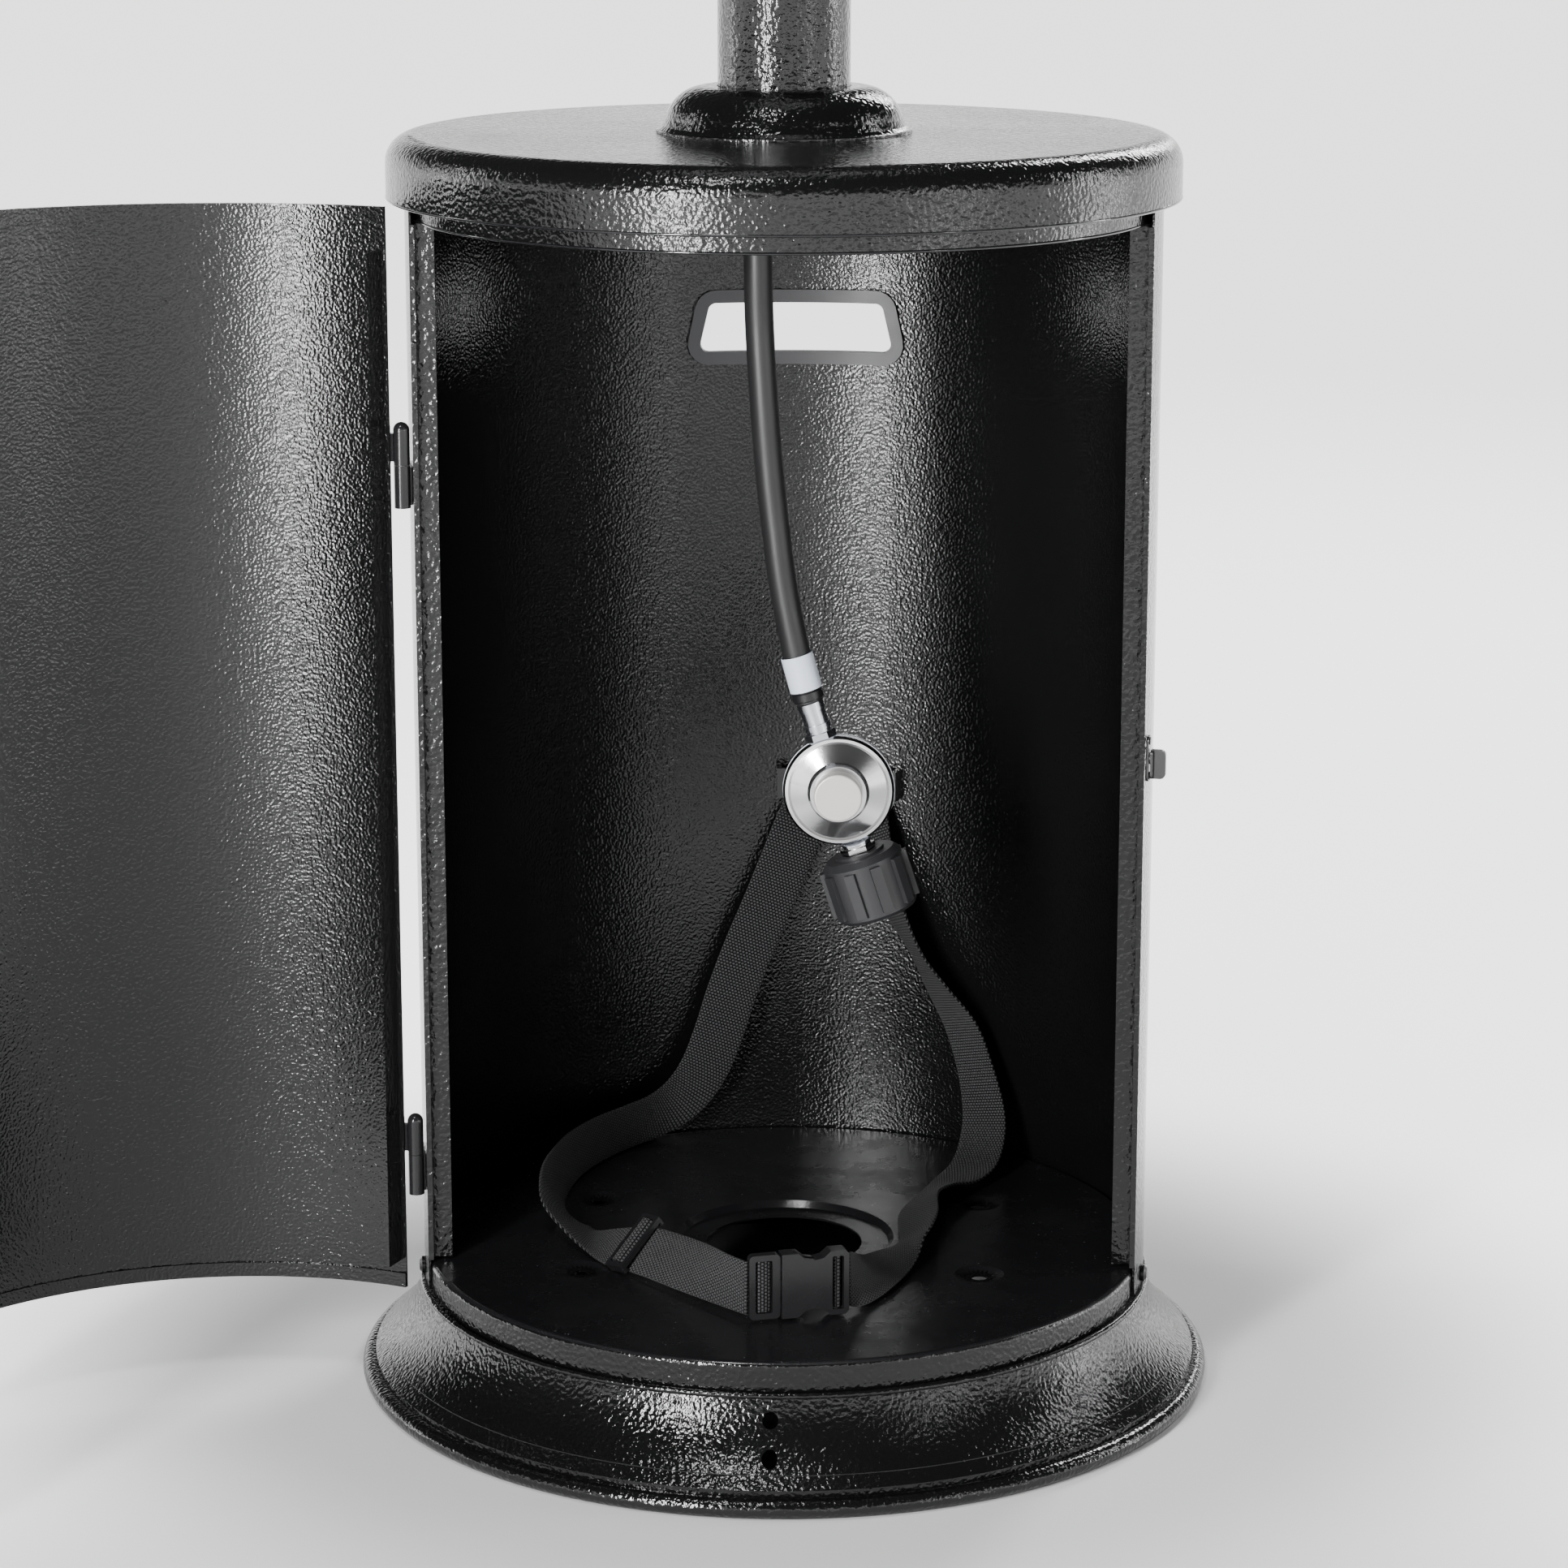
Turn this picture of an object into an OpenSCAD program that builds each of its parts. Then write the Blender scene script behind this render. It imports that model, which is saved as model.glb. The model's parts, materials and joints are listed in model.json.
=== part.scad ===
// Patio heater: round gas-bottle cabinet with its door open, pole, burner head and reflector.
// Millimetres, +Z up, the door side faces -Y, origin on the cabinet axis at ground level.

/* [Cabinet] */
// Outside diameter of the cabinet wall
cabinet_d = 406; // [350:1:480]
// Height of the lid's top above the ground
lid_h = 694; // [600:1:830]
// Thickness of the pressed sheet
sheet_t = 1.2; // [1:0.1:1.4]
// How far the door stands open in the stored pose, degrees
door_open = 128; // [90:1:150]
// Diameter of the hinge pins
hinge_pin_d = 5; // [4.2:0.1:6]

/* [Base] */
// How far the rolled rim reaches past the cabinet wall
rim_reach = 36; // [30:1:43]
// Height of the floor plate's top above the ground
floor_h = 73; // [68:1:80]
// Diameter of the hole in the middle of the floor plate
floor_hole_d = 88; // [74:1:104]
// Diameter of the four anchor holes in the floor plate
anchor_hole_d = 9; // [7.5:0.1:10.8]
// Spacing of the anchor holes from left to right
anchor_dx = 220; // [184:1:256]
// Spacing of the anchor holes from front to back
anchor_dy = 121; // [110:1:145]

/* [Pole and head] */
// Outside diameter of the pole
pole_d = 71; // [60:1:85]
// Height of the pole's top above the ground
pole_h = 1690; // [1420:1:2030]
// Outside diameter of the control housing
housing_d = 210; // [176:1:252]
// Outside diameter of the reflector
reflector_d = 813; // [678:1:976]
// Outside diameter of the control knob
knob_d = 40; // [34:1:48]

/* [Hose and strap] */
// Outside diameter of the gas hose
hose_d = 15.6; // [13:0.1:18.6]
// Outside diameter of the regulator
regulator_d = 62; // [52:1:74]
// Outside diameter of the hand nut
nut_d = 50; // [42:1:60]
// Width of the webbing
web_w = 30; // [25:1:34]

/* [Hidden] */
$fn = 64;
eps = 0.01;
cabinet_r = cabinet_d / 2;
wall_in_r = cabinet_r - sheet_t;
web_dy = cabinet_r - 203; // the strap's route keeps its place against the back wall
fit_gap = 0.1;
run_gap = 0.05;

// base pan
band_r = wall_in_r - 0.3;
rim_r = cabinet_r + rim_reach;
bead_r = 5.5;
bead_lift = 5.2;
ledge_z = floor_h - 17;
groove_r = rim_r - 7.5;
crease_r = rim_r - 14;
crease_z = 19.5;
flare_r = 68;
dish_r = floor_hole_d / 2 + 18;
dish_t = 3.5;
kit_hole_d = 8.4;
kit_hole_z = [43.5, 26.3];

// shell and jambs
shell_z0 = ledge_z + 2;
shell_z1 = lid_h - 4;
jamb_a = 15.25;
jamb_set = 6.8;
jamb_w = 9.7;
jamb_lip = 2.9;
jamb_z0 = floor_h + 1.8;
header_drop = 44;
header_z0 = lid_h - header_drop;
header_in = 3.8;
jamb_z1 = header_z0 - 1;
screw_angles = [-8.5, 49, 90, 131, 188.5];
header_angles = [25, 90, 155];

// lid
lid_r = cabinet_r + 9.7;
lid_round = 14.7;
lid_skirt_z = lid_h - 33;

// handle hole in the back wall
handle_z0 = lid_h - 147;
handle_hgt = 33;
handle_w0 = 119;
handle_w1 = 104;
trim_w = 7.5;
trim_in = 2.2;

// collar and pole
pole_r = pole_d / 2;
pole_t = 1.5;
pole_in_r = pole_r - pole_t;
socket_r = pole_in_r - fit_gap;
socket_h = 70;
flange_r = pole_r + 21;
bolt_pcd = 2 * pole_r + 24;
collar_r = pole_r + 33;

// door
door_in_r = cabinet_r + 0.4;
door_r = door_in_r + sheet_t;
door_a = 15.3;
door_z0 = shell_z0 + 0.8;
door_z1 = lid_skirt_z - 2.4;
hem_h = 8;
return_w = 14.5;

// hinges
knuckle_r = hinge_pin_d / 2 + 1.9;
pin_off = knuckle_r + 1;
pin_a = 14;
pin_r = cabinet_r + pin_off;
pin_x = -pin_r * cos(pin_a);
pin_y = -pin_r * sin(pin_a);
knuckle_h = 23;
hinge_zs = [lid_h - 173, floor_h + 63];
leaf_t = 1.6;

// latch
latch_a = 13.4;
latch_z = floor_h + 290;
latch_base_t = 1.4;
latch_turn_h = 16;

// hose
hose_r = hose_d / 2;
hose_x = -14;
hose_top = lid_h - 2 * sheet_t - 0.8;
lid_and_header = 2 * sheet_t + 1; // the two discs that the grommet clips over, with its play
hose_path = [[-14, 0, 0], [-14, 0, -30], [-14, 0, -65], [-13.5, 0, -95], [-12, 0, -125],
  [-10, 0, -155], [-7.5, 0, -185], [-4.5, 0, -212], [-1, 0, -240], [3.5, 0, -265],
  [8.5, 0, -288], [14, 0, -308]];
hose_points = [for (p = hose_path) [p[0], p[1], hose_top + p[2]]];
hose_end = hose_points[len(hose_points) - 1];

// regulator, in its own axes: Z up along the hose's end, -Y to the front
reg_tilt = 18;
ferrule_h = 16;
regulator_r = regulator_d / 2;
reg_drop = ferrule_h + regulator_r + 5.5;
nut_r = nut_d / 2;
nut_h = 35;
nut_gap = 7;
nipple_r = 8;
nut_z = -regulator_r - nut_gap;

// webbing
web_t = 1.6;
k_w = web_w / 30;
// each row: the webbing's centre, then its width from the upper edge to the lower
left_rows = [
  [[9.8, 197.9, 297], [28, -1, -2]], [[8.5, 197, 279], [28, -1, -6]],
  [[2, 189, 264], [28, -1, -9]], [[-7, 187, 241], [28, -1, -9]],
  [[-17, 186, 216], [28, 0, -10]], [[-28, 184, 190], [28, 0, -10]],
  [[-38, 182, 163], [28, 1, -9]], [[-46, 180, 138], [28, 3, -10]],
  [[-55, 177, 116], [26, 6, -13]], [[-67, 173, 100], [20, 8, -20]],
  [[-82, 166, 91], [8, 9, -27]], [[-98, 149, 89], [2, 8, -28]],
  [[-114, 124, 89], [5, 8, -28]], [[-126, 95, 89], [6, 7, -28]],
  [[-132, 64, 89], [7, 4, -28]], [[-134, 40, 88], [11, 2, -27]],
  [[-131, 19, 86], [18, 0, -23]], [[-126, 4, 83], [22, 10, -17]],
  [[-118, -9, 80], [15, 24, -9]], [[-108, -23, 77], [6, 29, 0]],
  [[-94, -41, 80], [10, 25, 11]], [[-80, -56, 84], [16, 17, 18]],
  [[-67, -71, 86], [18, 10, 22]], [[-52, -91, 88], [15, 5, 25]],
  [[-38, -111, 90], [9, 1, 28]], [[-27, -126, 91], [4, -1, 29]],
  [[-15, -140.6, 92], [0, 0, 30]]];
right_rows = [
  [[40.4, 193.6, 297], [-28, 5, -2]], [[40.6, 192.6, 279], [-27, 6, -8]],
  [[44, 186, 262], [-24, 12, -12]], [[51, 180, 240], [-17, 21, -13]], [[61, 175, 215], [-10, 26, -10]],
  [[73, 172, 192], [-7, 28, -6]], [[86, 168, 171], [-12, 25, -7]], [[100, 162, 150], [-19, 22, -8]],
  [[109, 152, 126], [-21, 20, -8]], [[114, 139, 104], [-24, 16, -6]], [[113, 125, 90], [-26, 14, -4]],
  [[108, 107, 81], [-26, 15, -3]], [[98, 88, 78], [-23, 18, -4]], [[88, 68, 80], [-18, 21, -11]],
  [[80, 46, 82], [-17, 19, -14]], [[76, 22, 84], [-22, 13, -16]], [[76, -2, 84], [-22, 12, -16]],
  [[75, -21, 83], [-18, 17, -16]], [[71, -32, 81], [-17, 21, -13]], [[67, -42, 78.5], [-19, 23, -5]],
  [[61, -57, 78], [-20, 22, 3]], [[54, -80, 81], [-17, 22, 10]], [[46, -105, 86], [-10, 18, 22]],
  [[39.2, -124.8, 92], [0, 0, 30]]];

// buckle and slider
buckle_h = web_w + 6;
buckle_t = 9;
buckle_z = floor_h + 1.5 + buckle_h / 2;
buckle_a = 16;
buckle_o = [-6, -138];
strap_bar_z = floor_h + 218;

// head
housing_r = housing_d / 2;
housing_foot_r = pole_r + 29.6;
housing_z0 = pole_h + 3.2;
cone_h = 46;
housing_h = 128;
housing_z1 = housing_z0 + housing_h;
knob_z = housing_z0 + 86;
knob_r = knob_d / 2;
screen_r = housing_r - 12;
screen_h = 290;
screen_z1 = housing_z1 + screen_h;
igniter_a = -62;
igniter_r = 9;
stud_r = 3;
stud_pcd = 130;
dome_r = reflector_d / 2;
dome_rise = 95;
dome_ball = (dome_r * dome_r + dome_rise * dome_rise) / (2 * dome_rise);
dome_top = screen_z1 + 78;
stud_gap = dome_ball - sqrt(dome_ball * dome_ball - stud_pcd * stud_pcd / 4);
stud_seat = dome_top - stud_gap;

steel_black = [0.06, 0.06, 0.065];
steel_bare = [0.72, 0.72, 0.74];
plastic_black = [0.1, 0.1, 0.11];

// ---------- shared shapes ----------

module ring(ro, ri, h) {
  difference() {
    cylinder(h = h, r = ro);
    translate([0, 0, -1]) cylinder(h = h + 2, r = ri);
  }
}

module arc_wall(ri, ro, z0, z1, a0, a1) {
  rotate([0, 0, a0])
    rotate_extrude(angle = a1 - a0)
      translate([ri, z0]) square([ro - ri, z1 - z0]);
}

// points of a corner arc, for outlines with round corners
function corner(x, y, r, a0, a1) =
  [for (i = [0:5]) [x + r * cos(a0 + (a1 - a0) * i / 5), y + r * sin(a0 + (a1 - a0) * i / 5)]];

// a trapezoid standing on its wide side, w0 below and w1 above, with corner radius r
function trapezoid(w0, w1, h, r) = concat(
  corner(w0 / 2 - r * 1.25, r, r, -90, 14), corner(w1 / 2 - r * 0.8, h - r, r, 14, 90),
  corner(-w1 / 2 + r * 0.8, h - r, r, 90, 166), corner(-w0 / 2 + r * 1.25, r, r, 166, 270));

function box_outline(w, h, r) = concat(
  corner(w / 2 - r, -h / 2 + r, r, -90, 0), corner(w / 2 - r, h / 2 - r, r, 0, 90),
  corner(-w / 2 + r, h / 2 - r, r, 90, 180), corner(-w / 2 + r, -h / 2 + r, r, 180, 270));

// flat outline laid in the XZ plane, thick in Y from y0 to y1
module plate_y(pts, y0, y1) {
  translate([0, y1, 0])
    rotate([90, 0, 0])
      linear_extrude(height = y1 - y0) polygon(pts);
}

module pan_head(r, h, shank_r, shank_h) {
  cylinder(h = h * 0.55, r = r);
  translate([0, 0, h * 0.55 - eps]) cylinder(h = h * 0.45, r1 = r, r2 = r * 0.62);
  translate([0, 0, -shank_h]) cylinder(h = shank_h + eps, r = shank_r);
}

// a screw whose head sits on radius r at angle a and height z, pointing inwards
module wall_screw(a, z, r, head_r, head_h, shank_r, shank_h) {
  rotate([0, 0, a])
    translate([r, 0, z])
      rotate([0, 90, 0]) pan_head(head_r, head_h, shank_r, shank_h);
}

function unit(v) = v / norm(v);
function run_dir(p, i) = unit(p[min(i + 1, len(p) - 1)] - p[max(i - 1, 0)]);

// round tube along points that stay in the XZ plane
module tube_xz(points, r, sides) {
  last = len(points) - 1;
  rings = [for (i = [0:last]) let (t = run_dir(points, i), b = cross(t, [0, 1, 0]))
    for (j = [0:sides - 1]) let (a = 360 * j / sides)
      points[i] + r * (cos(a) * [0, 1, 0] + sin(a) * b)];
  walls = [for (i = [0:last - 1], j = [0:sides - 1]) let (k = (j + 1) % sides)
    [i * sides + j, i * sides + k, (i + 1) * sides + k, (i + 1) * sides + j]];
  start = [for (j = [0:sides - 1]) sides - 1 - j];
  finish = [for (j = [0:sides - 1]) last * sides + j];
  polyhedron(points = rings, faces = concat(walls, [start], [finish]), convexity = 6);
}

// flat webbing: rows of centre and width vector, thick along the direction across both
module webbing(rows, t) {
  last = len(rows) - 1;
  mid = [for (r = rows) [r[0][0], r[0][1] + web_dy, r[0][2] + floor_h - 73]];
  wide = [for (r = rows) web_w * unit(r[1])];
  pts = [for (i = [0:last]) let (n = unit(cross(run_dir(mid, i), wide[i])) * t / 2, w = wide[i] / 2)
    each [mid[i] - w - n, mid[i] + w - n, mid[i] + w + n, mid[i] - w + n]];
  // both broad sides are split along the same diagonal, so a twist keeps them apart
  walls = [for (i = [0:last - 1], j = [0:3]) let (k = (j + 1) % 4, a = i * 4, b = i * 4 + 4)
    each (j == 2 ? [[a + j, a + k, b + j], [a + k, b + k, b + j]]
      : [[a + j, a + k, b + k], [a + j, b + k, b + j]])];
  ends = [[3, 2, 1], [3, 1, 0], [last * 4, last * 4 + 1, last * 4 + 2],
    [last * 4, last * 4 + 2, last * 4 + 3]];
  polyhedron(points = pts, faces = concat(walls, ends), convexity = 8);
}

module at_regulator() {
  translate([hose_end[0] + reg_drop * sin(reg_tilt), 0, hose_end[2] - reg_drop * cos(reg_tilt)])
    rotate([0, -reg_tilt, 0]) children();
}

module at_hinge(i) {
  translate([pin_x, pin_y, hinge_zs[i]]) children();
}

// carries what is drawn with the door shut to the stored pose
module door_swing() {
  translate([pin_x, pin_y, 0])
    rotate([0, 0, -door_open])
      translate([-pin_x, -pin_y, 0]) children();
}

// ---------- base ----------

module pan_outline(t) {
  difference() {
    union() {
      polygon([[0, -5], [groove_r - t, -5], [groove_r - t, 14 - t * 0.4],
        [crease_r - t * 0.6, crease_z - t * 0.8], [crease_r - t * 0.6, ledge_z - 1],
        [band_r - t, ledge_z - 1], [band_r - t, floor_h - 3], [0, floor_h - 3]]);
      translate([0, floor_h - 3 - eps]) square([band_r - 3, 3 - t + eps]);
      translate([band_r - 3, floor_h - 3]) circle(r = 3 - t);
    }
    translate([crease_r + 45, ledge_z + 15]) circle(r = flare_r + t, $fn = 128);
  }
}

module base_pan() {
  color(steel_black) difference() {
    union() {
      rotate_extrude($fn = 128) {
        difference() {
          intersection() {
            difference() {
              pan_outline(0);
              pan_outline(sheet_t);
            }
            translate([dish_r, 8]) square([rim_r, lid_h]);
          }
        }
        translate([cabinet_r + 1.2, ledge_z - 0.3]) circle(r = 1.7);
        translate([wall_in_r - 2, ledge_z - 1.5]) square([4.5, 1.5]);
        intersection() {
          difference() {
            translate([rim_r - bead_r, bead_lift]) circle(r = bead_r);
            translate([rim_r - bead_r, bead_lift]) circle(r = bead_r - sheet_t);
            translate([rim_r - 2 * bead_r - 1, bead_lift - 2]) square([bead_r - 2, 3]);
          }
          translate([0, 0]) square([rim_r + 5, 30]);
        }
        translate([dish_r - 3, floor_h - sheet_t - dish_t]) polygon([[0, 0], [0, sheet_t],
          [3, dish_t + sheet_t], [3.6, dish_t + sheet_t], [3.6, dish_t], [3, dish_t - 0.6]]);
        translate([floor_hole_d / 2, floor_h - sheet_t - dish_t])
          square([dish_r - 3 - floor_hole_d / 2 + eps, sheet_t]);
      }
      for (x = [-1, 1], y = [-1, 1])
        translate([x * anchor_dx / 2, y * anchor_dy / 2, floor_h - 2 - sheet_t])
          cylinder(h = 2 + sheet_t - 0.2, r1 = anchor_hole_d / 2 + 4, r2 = anchor_hole_d + 6);
    }
    for (x = [-1, 1], y = [-1, 1])
      translate([x * anchor_dx / 2, y * anchor_dy / 2, 0]) {
        translate([0, 0, floor_h - 2])
          cylinder(h = 2.1, r1 = anchor_hole_d / 2 + 3, r2 = anchor_hole_d + 5);
        translate([0, 0, floor_h - 10]) cylinder(h = 20, r = anchor_hole_d / 2);
      }
    for (z = kit_hole_z)
      translate([0, -cabinet_r + 10, z])
        rotate([90, 0, 0]) cylinder(h = 40, r = kit_hole_d / 2);
    for (a = screw_angles)
      rotate([0, 0, a])
        translate([band_r - 5, 0, ledge_z + 8]) rotate([0, 90, 0]) cylinder(h = 10, r = 2.2);
  }
}

module base_screws() {
  color(steel_black) for (a = screw_angles)
    wall_screw(a, ledge_z + 8, cabinet_r + 0.1, 4.8, 3, 2, 7);
}

// ---------- cabinet ----------

module jamb(side) {
  cx = cabinet_r * cos(jamb_a);
  cy = -cabinet_r * sin(jamb_a);
  t = sheet_t;
  translate([0, 0, jamb_z0])
    linear_extrude(height = jamb_z1 - jamb_z0)
      scale([side, 1]) polygon([[cx - 0.2, cy], [cx - jamb_lip, cy], [cx - jamb_lip, cy + jamb_set],
        [cx - jamb_lip - jamb_w, cy + jamb_set], [cx - jamb_lip - jamb_w, cy + jamb_set + t],
        [cx - jamb_lip + t, cy + jamb_set + t], [cx - jamb_lip + t, cy + t], [cx - 0.1, cy + t]]);
}

module cabinet_shell() {
  color(steel_black) difference() {
    union() {
      arc_wall(wall_in_r, cabinet_r, shell_z0, shell_z1, -jamb_a, 180 + jamb_a);
      jamb(1);
      jamb(-1);
    }
    translate([0, 0, handle_z0])
      plate_y(trapezoid(handle_w0, handle_w1, handle_hgt, 7), cabinet_r - 40, cabinet_r + 10);
    for (a = screw_angles)
      rotate([0, 0, a])
        translate([band_r - 5, 0, ledge_z + 8]) rotate([0, 90, 0]) cylinder(h = 10, r = 2.2);
    for (a = header_angles)
      rotate([0, 0, a])
        translate([band_r - 5, 0, lid_h - 16]) rotate([0, 90, 0]) cylinder(h = 10, r = 2.2);
  }
}

// edge trim that grips the handle hole: a lip on each face of the wall and a throat between
module trim_lip(grow, shrink, ri, ro) {
  intersection() {
    translate([0, 0, handle_z0]) difference() {
      translate([0, 0, -grow])
        plate_y(trapezoid(handle_w0 + 2.4 * grow, handle_w1 + 1.6 * grow,
          handle_hgt + 2 * grow, 7 + grow), cabinet_r - 40, cabinet_r + 10);
      translate([0, 0, shrink])
        plate_y(trapezoid(handle_w0 - 2.4 * shrink, handle_w1 - 1.6 * shrink,
          handle_hgt - 2 * shrink, 7 - shrink), cabinet_r - 41, cabinet_r + 11);
    }
    ring_at(ro, ri, handle_z0 - 20, handle_hgt + 40);
  }
}

module ring_at(ro, ri, z, h) {
  translate([0, 0, z]) ring(ro, ri, h);
}

module handle_trim() {
  grow = trim_w - trim_in;
  color(plastic_black) union() {
    trim_lip(grow, trim_in, wall_in_r - 2.2, wall_in_r - 0.05);
    trim_lip(grow, trim_in, cabinet_r + 0.05, cabinet_r + 2.2);
    trim_lip(-0.1, trim_in, wall_in_r - 1, cabinet_r + 1);
  }
}

module header_pan() {
  r0 = band_r;
  r1 = wall_in_r - header_in;
  t = sheet_t;
  z1 = lid_h - t - 0.3;
  zj = lid_h - 32;
  color(steel_black) difference() {
    rotate_extrude($fn = 128)
      polygon([[0, z1 - t], [r0 - t, z1 - t], [r0 - t, zj + 2], [r1 - t, zj], [r1 - t, header_z0],
        [r1, header_z0], [r1, zj - 1], [r0, zj + 1], [r0, z1 - 1.6], [r0 - 1.6, z1], [0, z1]]);
    translate([hose_x, 0, z1 - 10]) cylinder(h = 20, r = hose_r + 3);
    for (a = [45:90:315])
      rotate([0, 0, a]) translate([bolt_pcd / 2, 0, z1 - 10]) cylinder(h = 20, r = 3.3);
    for (a = header_angles)
      rotate([0, 0, a])
        translate([r0 - 5, 0, lid_h - 16]) rotate([0, 90, 0]) cylinder(h = 10, r = 2.2);
  }
}

module header_screws() {
  color(steel_bare) for (a = header_angles)
    wall_screw(a, lid_h - 16, cabinet_r + 0.1, 4.4, 2.8, 2, 6);
}

module lid_outline(t) {
  r = lid_r - t;
  round_r = lid_round - t;
  translate([0, lid_skirt_z - 5]) square([r, lid_h - lid_round - lid_skirt_z + 5]);
  translate([0, lid_h - lid_round - eps]) square([lid_r - lid_round, round_r + eps]);
  translate([lid_r - lid_round, lid_h - lid_round]) circle(r = round_r);
}

module lid() {
  color(steel_black) difference() {
    rotate_extrude($fn = 128) intersection() {
      difference() {
        lid_outline(0);
        lid_outline(sheet_t);
      }
      translate([0, lid_skirt_z]) square([lid_r + 5, lid_h]);
    }
    translate([hose_x, 0, lid_h - 10]) cylinder(h = 20, r = hose_r + 3);
    for (a = [45:90:315])
      rotate([0, 0, a]) translate([bolt_pcd / 2, 0, lid_h - 10]) cylinder(h = 20, r = 3.3);
  }
}

// ---------- pole ----------

module collar_outline(t) {
  c = collar_r;
  ball = 22;
  low = 2.2;
  polygon([[0, -1], [c - t * 2.2, -1], [c - t * 2.2, 1.2 - t], [c - 1.6 - t, 1.6 - t * 0.6],
    [c - 3.4 - t, 3.4 - t * 0.3], [c - 4.8 - t, 7], [0, 7]]);
  intersection() {
    translate([c - 26.5, low]) circle(r = ball - t);
    translate([c - 26.5, 6]) square([ball, ball]);
  }
  translate([0, 6]) square([c - 26.4, ball + low - t - 6]);
}

// bell-shaped trim that drops over the pole and hides its bolts
module collar() {
  color(steel_black) translate([0, 0, lid_h + 0.05]) rotate_extrude() intersection() {
    difference() {
      collar_outline(0);
      collar_outline(1);
    }
    translate([pole_r + 0.4, 0]) square([60, 40]);
  }
}

module pole_socket() {
  color(steel_bare) translate([0, 0, lid_h + fit_gap]) difference() {
    union() {
      cylinder(h = 3, r = flange_r);
      cylinder(h = socket_h, r = socket_r);
    }
    translate([0, 0, -1]) cylinder(h = socket_h + 2, r = socket_r - 2);
    for (a = [45:90:315])
      rotate([0, 0, a]) translate([bolt_pcd / 2, 0, -1]) cylinder(h = 6, r = 3.3);
  }
}

module socket_bolts() {
  color(steel_bare) for (a = [45:90:315])
    rotate([0, 0, a]) translate([bolt_pcd / 2, 0, 0]) {
      translate([0, 0, lid_h + 3 + fit_gap]) cylinder(h = 4, r = 5.6, $fn = 6);
      translate([0, 0, lid_h - 13]) cylinder(h = 17, r = 3);
      translate([0, 0, lid_h - 2 * sheet_t - 5.6]) cylinder(h = 5, r = 5.6, $fn = 6);
    }
}

module pole() {
  z0 = lid_h + 3.2;
  color(steel_black) translate([0, 0, z0]) ring(pole_r, pole_in_r, pole_h - z0);
}

module pole_flange() {
  color(steel_bare) translate([0, 0, pole_h + fit_gap]) difference() {
    union() {
      cylinder(h = 3, r = pole_r + 16);
      translate([0, 0, -40]) cylinder(h = 40 + eps, r = socket_r);
    }
    translate([0, 0, -41]) cylinder(h = 50, r = socket_r - 2);
    for (a = [45:90:315])
      rotate([0, 0, a]) translate([pole_r + 8, 0, -1]) cylinder(h = 6, r = 3.3);
  }
}

// ---------- door ----------

module door_panel() {
  color(steel_black) door_swing() union() {
    rotate([0, 0, 180 + door_a]) rotate_extrude(angle = 180 - 2 * door_a)
      polygon([[door_in_r - sheet_t, door_z0], [door_r, door_z0], [door_r, door_z1],
        [door_in_r - sheet_t, door_z1], [door_in_r - sheet_t, door_z1 - hem_h],
        [door_in_r, door_z1 - hem_h], [door_in_r, door_z0 + hem_h],
        [door_in_r - sheet_t, door_z0 + hem_h]]);
    for (a = [180.9 + door_a, 359.1 - door_a])
      rotate([0, 0, a])
        translate([door_in_r - return_w, -sheet_t / 2, floor_h + 1.5])
          cube([return_w + sheet_t / 2, sheet_t, door_z1 - 23 - floor_h - 1.5]);
  }
}

module leaf_arc(r, a0, a1, z0, z1) {
  arc_wall(r, r + leaf_t, z0, z1, a0, a1);
}

module door_leaf(i) {
  z = hinge_zs[i];
  color(steel_black) door_swing() difference() {
    union() {
      at_hinge(i) {
        translate([0, 0, 0.15]) cylinder(h = knuckle_h - knuckle_r, r = knuckle_r);
        translate([0, 0, 0.15 + knuckle_h - knuckle_r]) sphere(r = knuckle_r);
      }
      leaf_arc(door_r + 0.02, 180 + door_a + 0.2, 180 + door_a + 6.5, z + 1, z + knuckle_h - 2);
      rotate([0, 0, 180 + door_a])
        translate([door_r + 0.3, -1.6, z + 2]) cube([pin_off - 2, 4, knuckle_h - 8]);
    }
    at_hinge(i) translate([0, 0, -1]) cylinder(h = knuckle_h - 4, r = hinge_pin_d / 2 + run_gap);
    for (s = [8, 16]) rivet_hole(180 + door_a + 4.5, z + s, door_r - 3);
  }
}

module rivet_hole(a, z, r) {
  rotate([0, 0, a]) translate([r, 0, z]) rotate([0, 90, 0]) cylinder(h = 12, r = 1.7);
}

module jamb_leaf(i) {
  z = hinge_zs[i];
  color(steel_black) difference() {
    union() {
      at_hinge(i) translate([0, 0, -knuckle_h - 0.15]) cylinder(h = knuckle_h, r = knuckle_r);
      leaf_arc(cabinet_r + 0.02, 180 + pin_a - 6.5, 180 + pin_a - 0.2, z - knuckle_h + 1, z - 1.5);
      rotate([0, 0, 180 + pin_a])
        translate([cabinet_r + 0.8, -4, z - knuckle_h + 2]) cube([pin_off - 2, 3.6, knuckle_h - 5]);
    }
    at_hinge(i) translate([0, 0, -knuckle_h - 1]) cylinder(h = knuckle_h + 2, r = hinge_pin_d / 2);
    for (s = [8, 16]) rivet_hole(180 + pin_a - 4.5, z - s, cabinet_r - 3);
  }
}

module hinge_pins() {
  color(steel_bare) for (i = [0, 1]) at_hinge(i)
    translate([0, 0, -knuckle_h - 0.15]) cylinder(h = 2 * knuckle_h - 6, r = hinge_pin_d / 2);
}

module door_rivets() {
  color(steel_black) door_swing() for (i = [0, 1], s = [8, 16])
    wall_screw(180 + door_a + 4.5, hinge_zs[i] + s, door_r + leaf_t + 0.04, 2.8, 1.2, 1.6, leaf_t);
}

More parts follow.
